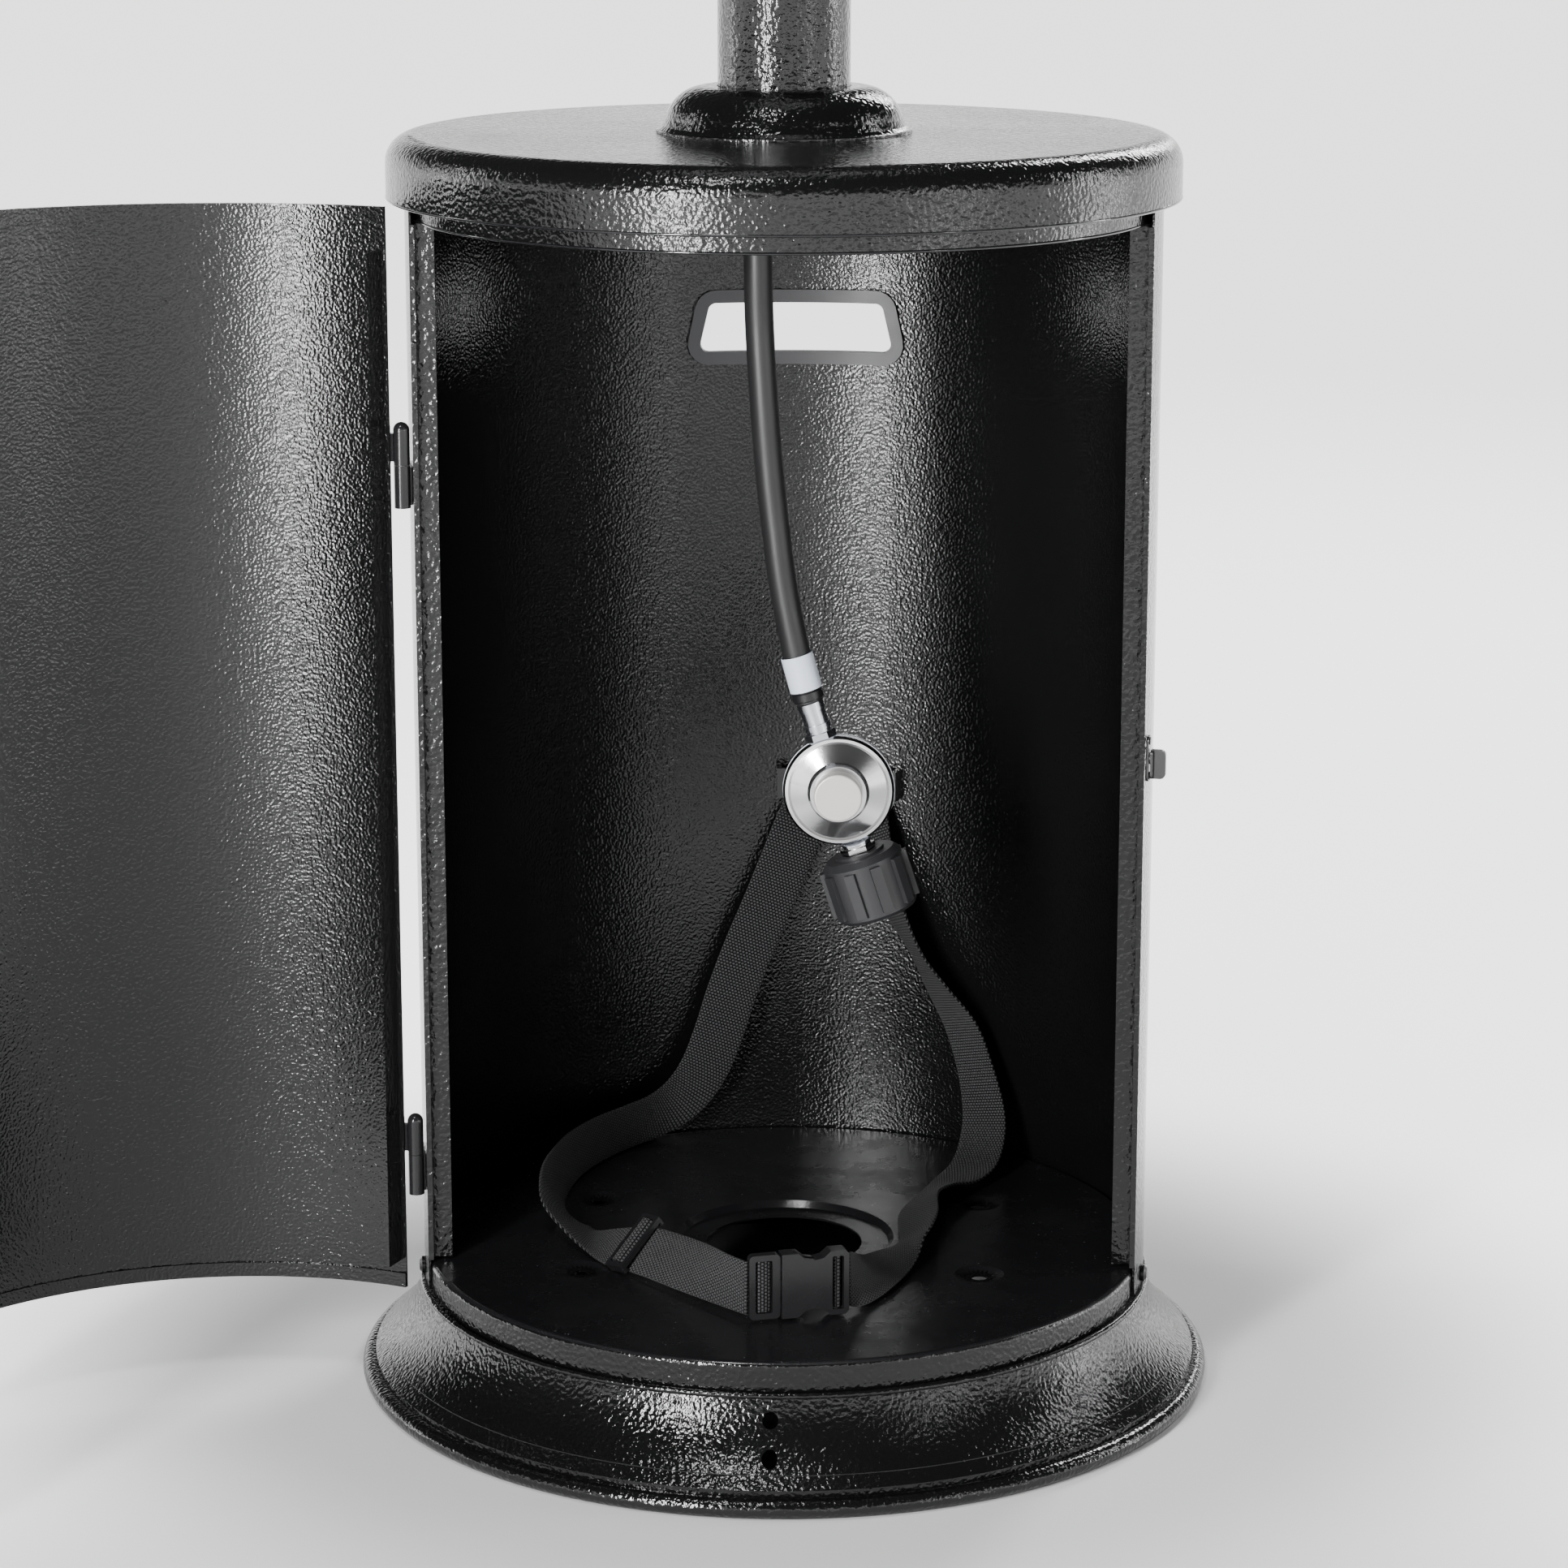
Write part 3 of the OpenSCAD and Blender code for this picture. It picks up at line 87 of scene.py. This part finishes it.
class Mat:
    """A Principled material with a few node helpers."""

    def __init__(self, name, color, rough, metal=0.0, **inputs):
        self.mat = bpy.data.materials.new(name)
        self.mat.use_nodes = True
        self.tree = self.mat.node_tree
        self.bsdf = self.tree.nodes["Principled BSDF"]
        self.bsdf.inputs["Base Color"].default_value = (*color, 1)
        self.bsdf.inputs["Roughness"].default_value = rough
        self.bsdf.inputs["Metallic"].default_value = metal
        for key, value in inputs.items():
            self.bsdf.inputs[key.replace("_", " ")].default_value = value

    def node(self, kind, **settings):
        n = self.tree.nodes.new(kind)
        for key, value in settings.items():
            if key in n.inputs:
                n.inputs[key].default_value = value
            else:
                setattr(n, key, value)
        return n

    def link(self, a, b):
        self.tree.links.new(a, b)

    def coords(self, which="Object", scale=(1, 1, 1)):
        t = self.node("ShaderNodeTexCoord")
        m = self.node("ShaderNodeMapping")
        m.inputs["Scale"].default_value = scale
        self.link(t.outputs[which], m.inputs["Vector"])
        return m.outputs["Vector"]

    def noise(self, scale, detail=2.0, vector=None, rough=0.5):
        n = self.node("ShaderNodeTexNoise")
        n.inputs["Scale"].default_value = scale
        n.inputs["Detail"].default_value = detail
        n.inputs["Roughness"].default_value = rough
        self.link(vector or self.coords(), n.inputs["Vector"])
        return n.outputs["Fac"]

    def ramp(self, value, low, high, a=(0, 0, 0), b=(1, 1, 1)):
        r = self.node("ShaderNodeValToRGB")
        r.color_ramp.elements[0].position = low
        r.color_ramp.elements[0].color = (*a, 1)
        r.color_ramp.elements[1].position = high
        r.color_ramp.elements[1].color = (*b, 1)
        self.link(value, r.inputs["Fac"])
        return r.outputs["Color"]

    def math(self, op, a, b=None):
        n = self.node("ShaderNodeMath", operation=op)
        for i, v in enumerate([a, b]):
            if v is None:
                continue
            if isinstance(v, (int, float)):
                n.inputs[i].default_value = v
            else:
                self.link(v, n.inputs[i])
        return n.outputs["Value"]

    def bump(self, height, strength, distance, after=None):
        b = self.node("ShaderNodeBump")
        b.inputs["Strength"].default_value = strength
        b.inputs["Distance"].default_value = distance
        self.link(height, b.inputs["Height"])
        if after is not None:
            self.link(after, b.inputs["Normal"])
        self.link(b.outputs["Normal"], self.bsdf.inputs["Normal"])
        return b.outputs["Normal"]

    def rough(self, value):
        self.link(value, self.bsdf.inputs["Roughness"])

    def color(self, value):
        self.link(value, self.bsdf.inputs["Base Color"])


def hammertone(name, scale, depth, rough, spread=0.04, grey=0.004):
    """Textured black paint: rounded dimples of about 1/scale metres under a clear gloss."""
    m = Mat(name, (grey, grey, grey * 1.06), rough, Specular_IOR_Level=0.5)
    where = m.coords()
    first = m.bump(m.noise(scale, 0.6, where, 0.5), 1.0, depth * MM)
    m.bump(m.noise(scale * 2.7, 1, where), 0.7, depth * 0.25 * MM, first)
    m.rough(m.ramp(m.noise(9, 3, where), 0.3, 0.75, (rough - spread,) * 3, (rough + spread,) * 3))
    return m.mat


def plain(name, color, rough, metal=0.0, grain=900, depth=0.00004, patch=0.05, **inputs):
    """Moulded, drawn or plated surface: fine grain, and gloss that varies in soft patches."""
    m = Mat(name, color, rough, metal, **inputs)
    where = m.coords()
    m.bump(m.noise(grain, 3, where), 0.5, depth)
    m.rough(m.ramp(m.noise(30, 4, where), 0.3, 0.7, (max(rough - patch, 0.02),) * 3, (rough + patch,) * 3))
    return m.mat


def floor_paint():
    """Smooth paint of the floor plate: soft waves, rubbed patches and a few pale specks."""
    m = Mat("floor_gloss", (0.009, 0.009, 0.01), 0.2, Specular_IOR_Level=0.5)
    where = m.coords()
    a = m.bump(m.noise(420, 3, where), 0.6, 0.00012)
    m.bump(m.noise(26, 2, where), 0.5, 0.0012, a)
    smudge = m.ramp(m.noise(14, 6, where, 0.7), 0.42, 0.7, (0.16,) * 3, (0.42,) * 3)
    m.rough(smudge)
    dots = m.node("ShaderNodeTexVoronoi", feature="F1")
    dots.inputs["Scale"].default_value = 190
    m.link(where, dots.inputs["Vector"])
    size = m.math("LESS_THAN", dots.outputs["Distance"], 0.07)
    few = m.math("GREATER_THAN", m.noise(60, 2, where), 0.56)
    m.color(m.ramp(m.math("MULTIPLY", size, few), 0.4, 0.6, (0.009, 0.009, 0.01), (0.16, 0.16, 0.17)))
    return m.mat


def web_cloth():
    """Woven webbing: rows of short raised threads, each row set off by half a thread; the thread tops carry
    a painted highlight and the gaps between them painted shade.
    """
    m = Mat("webbing_weave", (0.02, 0.02, 0.021), 0.62, Specular_IOR_Level=0.12,
            Sheen_Weight=0.06, Sheen_Roughness=0.4)
    uv = m.coords("UV", (1000, 1000, 1000))
    b = m.node("ShaderNodeTexBrick", offset=0.5, squash=1.0)
    b.inputs["Scale"].default_value = 1.0
    b.inputs["Brick Width"].default_value = 2.0
    b.inputs["Row Height"].default_value = 1.75
    b.inputs["Mortar Size"].default_value = 0.55
    b.inputs["Mortar Smooth"].default_value = 1.0
    m.link(uv, b.inputs["Vector"])
    # Painted highlight on the thread tops and painted shade in the gaps between threads, both in the base
    # colour.
    m.color(m.ramp(b.outputs["Fac"], 0.0, 0.9, (0.06, 0.06, 0.063), (0.001, 0.001, 0.001)))
    inv = m.math("SUBTRACT", 1.0, b.outputs["Fac"])
    a = m.bump(inv, 1.0, 0.0006)
    thread = m.noise(4.0, 2, m.coords("UV", (1400, 420, 1000)))
    m.bump(thread, 0.35, 0.0002, a)
    return m.mat


def punched_steel():
    """Steel sheet with a regular grid of punched holes, painted near black as painted shade inside them."""
    m = Mat("emitter_punched", (0.5, 0.5, 0.51), 0.32, 1.0)
    where = m.coords()
    holes = m.node("ShaderNodeTexVoronoi", feature="F1")
    holes.inputs["Scale"].default_value = 150
    holes.inputs["Randomness"].default_value = 0.0
    m.link(where, holes.inputs["Vector"])
    # Painted shade: the holes are not cut, their insides are painted near black.
    hole_shade = m.ramp(holes.outputs["Distance"], 0.3, 0.36, (0.004, 0.004, 0.004), (0.55, 0.55, 0.56))
    m.color(hole_shade)
    m.bump(holes.outputs["Distance"], 0.6, 0.001)
    return m.mat


MATS = {}


def make_materials():
    MATS["out"] = hammertone("paint_outside", 420, 0.58, 0.1)
    MATS["in"] = hammertone("paint_inside", 640, 0.34, 0.14)
    MATS["lid"] = hammertone("paint_lid", 460, 0.5, 0.13)
    MATS["hem"] = plain("paint_rolled_edge", (0.008, 0.008, 0.009), 0.09,
                        grain=260, depth=0.0002, patch=0.03)
    MATS["floor"] = floor_paint()
    MATS["web"] = web_cloth()
    MATS["hose"] = plain("hose_skin", (0.016, 0.016, 0.017), 0.42, grain=1400, depth=0.00006)
    MATS["rubber"] = plain("rubber_trim", (0.03, 0.03, 0.033), 0.42, grain=1200)
    MATS["plastic"] = plain("moulded_black", (0.011, 0.011, 0.012), 0.3, grain=1800, depth=0.00005)
    MATS["nut"] = plain("moulded_nut", (0.022, 0.022, 0.024), 0.42, grain=1500, depth=0.00007)
    MATS["black"] = plain("gloss_black", (0.012, 0.012, 0.013), 0.2, grain=500, depth=0.00008)
    MATS["zinc"] = plain("zinc_plate", (0.6, 0.62, 0.66), 0.24, 1.0, grain=700, depth=0.00005)
    MATS["nickel"] = plain("dished_plate", (0.66, 0.66, 0.67), 0.16, 1.0, grain=500, depth=0.00003)
    MATS["cap"] = plain("cap_metal", (0.64, 0.61, 0.58), 0.4, 0.35, grain=500, depth=0.00006)
    MATS["tag"] = plain("sleeve_pale", (0.72, 0.78, 0.88), 0.3, grain=300, depth=0.00004)
    MATS["steel"] = plain("satin_steel", (0.62, 0.62, 0.63), 0.28, 1.0)
    MATS["brass"] = plain("brass_turned", (0.7, 0.52, 0.24), 0.3, 1.0)
    MATS["copper"] = plain("copper_drawn", (0.72, 0.4, 0.26), 0.3, 1.0)
    MATS["red"] = plain("red_moulded", (0.5, 0.02, 0.015), 0.3)
    MATS["alu"] = plain("spun_aluminium", (0.8, 0.8, 0.81), 0.26, 1.0, grain=300)
    MATS["screw"] = plain("screw_black", (0.03, 0.03, 0.032), 0.3, 0.6)
    MATS["emitter"] = punched_steel()


LOOKS = {
    "out": "cabinet_shell door_panel pole collar control_housing",
    "lid": "lid header_pan base_pan",
    "rubber": "handle_trim hose_grommet",
    "hose": "hose_riser",
    "zinc": "hose_ferrule regulator_body socket_bolts housing_bolts housing_screws burner_pipe "
            "reflector_studs wing_nuts hinge_pins",
    "nickel": "regulator_bonnet inlet_nipple",
    "cap": "regulator_cap",
    "tag": "hose_tag",
    "nut": "hand_nut",
    "plastic": "tri_glide buckle_male buckle_female control_knob igniter_body tilt_switch",
    "black": "door_leaf_upper door_leaf_lower jamb_leaf_upper jamb_leaf_lower latch_plate latch_turn "
             "strap_anchor pole_socket pole_flange housing_base cabinet_rivets door_rivets",
    "screw": "base_screws header_screws",
    "brass": "gas_valve valve_stem pilot_burner",
    "copper": "gas_tube thermocouple",
    "steel": "knob_bezel burner_dish emitter_top",
    "red": "igniter_button",
    "alu": "reflector_dome",
    "emitter": "emitter_screen",
}

# ---------- shapes ----------


def add_mesh(name, verts, faces, mat, body, smooth=True, uvs=None):
    mesh = bpy.data.meshes.new(name)
    mesh.from_pydata([tuple(v) for v in verts], [], faces)
    if uvs is not None:
        layer = mesh.uv_layers.new(name="UVMap")
        for poly in mesh.polygons:
            for li in poly.loop_indices:
                layer.data[li].uv = uvs[mesh.loops[li].vertex_index]
    mesh.validate()
    obj = bpy.data.objects.new(name, mesh)
    bpy.context.scene.collection.objects.link(obj)
    for p in mesh.polygons:
        p.use_smooth = smooth
    mesh.materials.append(mat)
    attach(obj, body)
    return obj


def spline(points, steps):
    """Catmull-Rom points through the given ones."""
    pts = [Vector(p) for p in points]
    out = []
    for i in range(len(pts) - 1):
        p0, p1, p2, p3 = pts[max(i - 1, 0)], pts[i], pts[i + 1], pts[min(i + 2, len(pts) - 1)]
        for k in range(steps):
            t = k / steps
            out.append(0.5 * (2 * p1 + (p2 - p0) * t + (2 * p0 - 5 * p1 + 4 * p2 - p3) * t * t
                              + (3 * p1 - p0 - 3 * p2 + p3) * t ** 3))
    out.append(pts[-1])
    return out


def ribbon(name, rows, mat, body, width=30.0, thick=1.6, steps=6, across=8):
    """Webbing swept along rows of centre and width vector, with rounded selvedges."""
    mid = spline([r[0] for r in rows], steps)
    wide = [w.normalized() for w in spline([r[1] for r in rows], steps)]
    section = []
    h = thick / 2
    half = width / 2
    for k in range(across + 1):
        section.append((-half + 0.5 + (width - 1) * k / across, h))
    section += [(half - 0.12, h * 0.7), (half, 0.0), (half - 0.12, -h * 0.7)]
    for k in range(across + 1):
        section.append((half - 0.5 - (width - 1) * k / across, -h))
    section += [(-half + 0.12, -h * 0.7), (-half, 0.0), (-half + 0.12, h * 0.7)]
    n = len(section)
    verts, uvs, run = [], [], 0.0
    for i, c in enumerate(mid):
        d = (mid[min(i + 1, len(mid) - 1)] - mid[max(i - 1, 0)]).normalized()
        if i:
            run += (mid[i] - mid[i - 1]).length
        w = wide[i]
        up = w.cross(d).normalized()
        for a, b in section:
            verts.append((c + w * a + up * b) * MM)
            uvs.append((a * MM, run * MM + (0.0009 if b < 0 else 0)))
    faces = []
    for i in range(len(mid) - 1):
        for j in range(n):
            k = (j + 1) % n
            faces.append((i * n + j, i * n + k, (i + 1) * n + k, (i + 1) * n + j))
    faces.append(tuple(range(n - 1, -1, -1)))
    faces.append(tuple((len(mid) - 1) * n + j for j in range(n)))
    obj = add_mesh(name, verts, faces, mat, body, True, uvs)
    return obj, [c * MM for c in mid], run * MM


def curve_tube(name, points, radius, mat, body):
    data = bpy.data.curves.new(name, "CURVE")
    data.dimensions = "3D"
    data.bevel_depth = radius
    data.bevel_resolution = 8
    data.use_fill_caps = True
    s = data.splines.new("POLY")
    s.points.add(len(points) - 1)
    for p, q in zip(s.points, points):
        p.co = (*q, 1)
    data.materials.append(mat)
    obj = bpy.data.objects.new(name, data)
    bpy.context.scene.collection.objects.link(obj)
    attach(obj, body)
    return obj


def lathe(name, profile, where, axis, mat, body, turns=64):
    """A turned shape: profile of (radius, height) in millimetres along axis, from where."""
    q = Vector((0, 0, 1)).rotation_difference(Vector(axis))
    verts, faces = [], []
    n = len(profile)
    for k in range(turns):
        a = 2 * math.pi * k / turns
        for r, h in profile:
            verts.append(Vector(where) + q @ Vector((r * math.cos(a), r * math.sin(a), h)) * MM)
    for k in range(turns):
        j = (k + 1) % turns
        for i in range(n - 1):
            faces.append((k * n + i, j * n + i, j * n + i + 1, k * n + i + 1))
    obj = add_mesh(name, verts, faces, mat, body)
    mesh = obj.data
    bm = bmesh.new()
    bm.from_mesh(mesh)
    bmesh.ops.remove_doubles(bm, verts=bm.verts, dist=1e-6)
    bmesh.ops.recalc_face_normals(bm, faces=bm.faces)
    bm.to_mesh(mesh)
    bm.free()
    sharp_edges(obj, 35)
    return obj


def sharp_edges(obj, angle):
    """Smooth shading that stays crisp over edges sharper than angle, in degrees."""
    mesh = obj.data
    for p in mesh.polygons:
        p.use_smooth = True
    bm = bmesh.new()
    bm.from_mesh(mesh)
    for e in bm.edges:
        if len(e.link_faces) == 2 and e.calc_face_angle(0) > math.radians(angle):
            e.smooth = False
    bm.to_mesh(mesh)
    bm.free()


def split(node, key, test):
    """Gives the faces of a CAD piece that pass the test a second material."""
    mesh = nodes[node].data
    mesh.materials.append(MATS[key])
    for p in mesh.polygons:
        if test(p.center, p.normal):
            p.material_index = 1


def floor_top(c, n):
    """True on the floor plate's upper face and in the dish round its hole."""
    on_top = c.z > (FLOOR_H - 1.5) * MM and n.z > 0.3
    in_dish = math.hypot(c.x, c.y) < HOLE_RIM_R * MM and c.z > (FLOOR_H - 13) * MM
    return on_top or in_dish


def wall_inside(c, n):
    """True on the cabinet wall's inner side."""
    return math.hypot(c.x, c.y) < WALL_MIDDLE_R * MM and n.x * c.x + n.y * c.y < 0


def door_inside(c, n):
    """True on the door's inner side, seen from the middle of its arc in the stored pose."""
    pin = Vector((DOOR["pos_m"][0], DOOR["pos_m"][1], 0))
    middle = pin - Matrix.Rotation(math.radians(-DOOR["range_deg"][1]), 3, "Z") @ pin
    return (c.x - middle.x) * n.x + (c.y - middle.y) * n.y < 0


# ---------- camera, light and floor ----------


def make_camera():
    cam = bpy.data.cameras.new("camera")
    obj = bpy.data.objects.new("camera", cam)
    bpy.context.scene.collection.objects.link(obj)
    obj.location = (0.0819, -2.3466, 0.8926)
    obj.rotation_euler = (math.radians(90 - 13.34), 0, math.radians(2))
    cam.lens = 100.23
    cam.sensor_width = 36
    cam.clip_end = 50
    bpy.context.scene.camera = obj


def area(name, where, to, size, power):
    data = bpy.data.lights.new(name, "AREA")
    data.shape = "RECTANGLE"
    data.size, data.size_y = size
    data.energy = power
    obj = bpy.data.objects.new(name, data)
    bpy.context.scene.collection.objects.link(obj)
    obj.location = where
    obj.rotation_euler = (Vector(to) - Vector(where)).to_track_quat("-Z", "Y").to_euler()
    return obj


def smooth_step(m, value, low, high):
    r = m.node("ShaderNodeMapRange", interpolation_type="SMOOTHSTEP")
    r.inputs["From Min"].default_value = low
    r.inputs["From Max"].default_value = high
    m.link(value, r.inputs["Value"])
    return r.outputs["Result"]


def floor_glow():
    """Pale floor that glows away from the heater, so that its far part stays white from every side."""
    m = Mat("studio_floor", (0.93, 0.93, 0.93), 0.8)
    where = m.coords()
    far = m.node("ShaderNodeVectorMath", operation="LENGTH")
    m.link(where, far.inputs[0])
    axes = m.node("ShaderNodeSeparateXYZ")
    m.link(where, axes.inputs["Vector"])
    away = far.outputs["Value"]
    clear = smooth_step(m, away, 0.28, 0.6)
    behind = m.math("MULTIPLY", clear, smooth_step(m, axes.outputs["Y"], -0.5, -0.1))
    glow = m.math("MAXIMUM", behind, smooth_step(m, away, 2.0, 4.5))
    m.bsdf.inputs["Emission Color"].default_value = (1, 1, 1, 1)
    m.link(m.math("MULTIPLY", glow, 2.2), m.bsdf.inputs["Emission Strength"])
    return m.mat


def make_world():
    """Dim all round, with a pale band at the horizon."""
    world = bpy.data.worlds.new("studio")
    bpy.context.scene.world = world
    world.use_nodes = True
    tree = world.node_tree
    where = tree.nodes.new("ShaderNodeTexCoord")
    axes = tree.nodes.new("ShaderNodeSeparateXYZ")
    band = tree.nodes.new("ShaderNodeMapRange")
    for key, value in {"From Min": 0.1, "From Max": 0.3, "To Min": 2.2, "To Max": 0.07}.items():
        band.inputs[key].default_value = value
    tree.links.new(where.outputs["Generated"], axes.inputs["Vector"])
    tree.links.new(axes.outputs["Z"], band.inputs["Value"])
    tree.links.new(band.outputs["Result"], tree.nodes["Background"].inputs["Strength"])
    tree.nodes["Background"].inputs["Color"].default_value = (1, 1, 1, 1)


def make_stage():
    mesh = bpy.data.meshes.new("floor")
    s = 40.0
    mesh.from_pydata([(-s, -s, 0), (s, -s, 0), (s, s, 0), (-s, s, 0)], [], [(0, 1, 2, 3)])
    mesh.materials.append(floor_glow())
    obj = bpy.data.objects.new("floor", mesh)
    bpy.context.scene.collection.objects.link(obj)
    area("key", (-1.25, -2.35, 0.85), (0, 0, 0.45), (0.26, 1.5), 105)
    area("top", (-0.5, -1.2, 2.6), (0, 0, 0.6), (0.3, 0.6), 18)
    area("fill", (1.9, -1.7, 0.9), (0, 0, 0.5), (0.12, 1.6), 5)
    area("rim_left", (-2.0, 0.5, 0.9), (0, 0, 0.6), (0.16, 1.7), 9)
    area("rim_right", (2.0, 0.35, 0.9), (0, 0, 0.6), (0.16, 1.7), 14)
    area("back", (1.2, 2.6, 2.2), (0, 0, 0.7), (0.5, 1.6), 60)
    make_world()


# ---------- pieces ----------


def make_hose():
    pts = spline([(x, y, HOSE_TOP + z) for x, y, z in HOSE_PATH], 6)
    line = [p * MM for p in pts]
    hose = curve_tube("hose", line, HOSE_R * MM, MATS["hose"], "cabinet")
    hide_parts("hose_drop")
    end = line[-1]
    down = (line[-1] - line[-2]).normalized()
    outline = [(0, 0), (8.5, 0), (8.9, 0.5), (8.9, 4.5), (8.5, 5), (0, 5)]
    crimp = lathe("hose_crimp", outline, end - down * 6.2 * MM, down, MATS["plastic"], "cabinet")


def make_hems():
    """Rolled edges that catch the light, on the lid's skirt and on the header below it."""
    ring = [(math.cos(math.radians(a)), math.sin(math.radians(a))) for a in range(0, 361, 30)]
    for name, radius, height, size in (("lid_hem", CABINET_R + 9.1, LID_H - 32.9, 0.9),
                                       ("header_hem", CABINET_R - 5.2, LID_H - 43.3, 0.8)):
        profile = [(radius + size * c, height + size * s) for c, s in ring]
        lathe(name, profile, (0, 0, 0), (0, 0, 1), MATS["hem"], "cabinet", 180)


def buckle_point(x, y):
    """A point of the buckle's middle plane, x along the webbing and y through it."""
    a = math.radians(BUCKLE_TURN)
    return (BUCKLE[0] + x * math.cos(a) - y * math.sin(a),
            BUCKLE[1] + x * math.sin(a) + y * math.cos(a), BUCKLE[2])


def glide_rows(path):
    """Rows over the slider's middle bar, from (along, out) points in its own axes."""
    middle, across = Vector(LEFT[21][0]), Vector(LEFT[21][1]).normalized()
    run = Vector(LEFT[22][0]) - Vector(LEFT[20][0])
    along = (run - run.dot(across) * across).normalized()
    out = across.cross(along)
    return [(middle + Vector((0, 0, 2)) + x * along + y * out, across) for x, y in path]


def make_loops():
    """The webbing that shows in the slots of the slider and the two buckle halves."""
    up = (0, 0, 1)
    male = [(-4.9, 1.9), (-3.7, -0.2), (-1.6, -1.0), (0.6, -1.0), (2.7, -0.2), (3.9, 1.9)]
    female = [(37.5, 3.4), (38.2, 0.2), (39.3, -1.9), (40.7, -1.9), (41.8, 0.2), (42.5, 3.4)]
    glide = [(-4.2, -1.6), (-3.5, -3.9), (-1.6, -5.1), (1.6, -5.1), (3.5, -3.9), (4.2, -1.6)]
    loops = []
    for name, rows, width in (("loop_male", [(buckle_point(*p), up) for p in male], 29.0),
                              ("loop_female", [(buckle_point(*p), up) for p in female], 29.4),
                              ("loop_glide", glide_rows(glide), 30.0)):
        loops.append(ribbon(name, rows, MATS["web"], "cabinet", width, 1.4)[0])
    return loops


def make_strap(name, node, rows):
    strap, line, long = ribbon(name, rows, MATS["web"], "cabinet")
    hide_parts(node)


def make_straps():
    male, female, glide = make_loops()
    make_strap("strap_webbing_left", "strap_left", LEFT)
    make_strap("strap_webbing_right", "strap_right", RIGHT)


def paint_nodes():
    for key, names in LOOKS.items():
        for n in names.split():
            nodes[n].data.materials.clear()
            nodes[n].data.materials.append(MATS[key])


make_camera()
make_materials()
paint_nodes()
split("base_pan", "floor", floor_top)
split("cabinet_shell", "in", wall_inside)
split("door_panel", "in", door_inside)
make_hose()
make_straps()
make_hems()
make_stage()
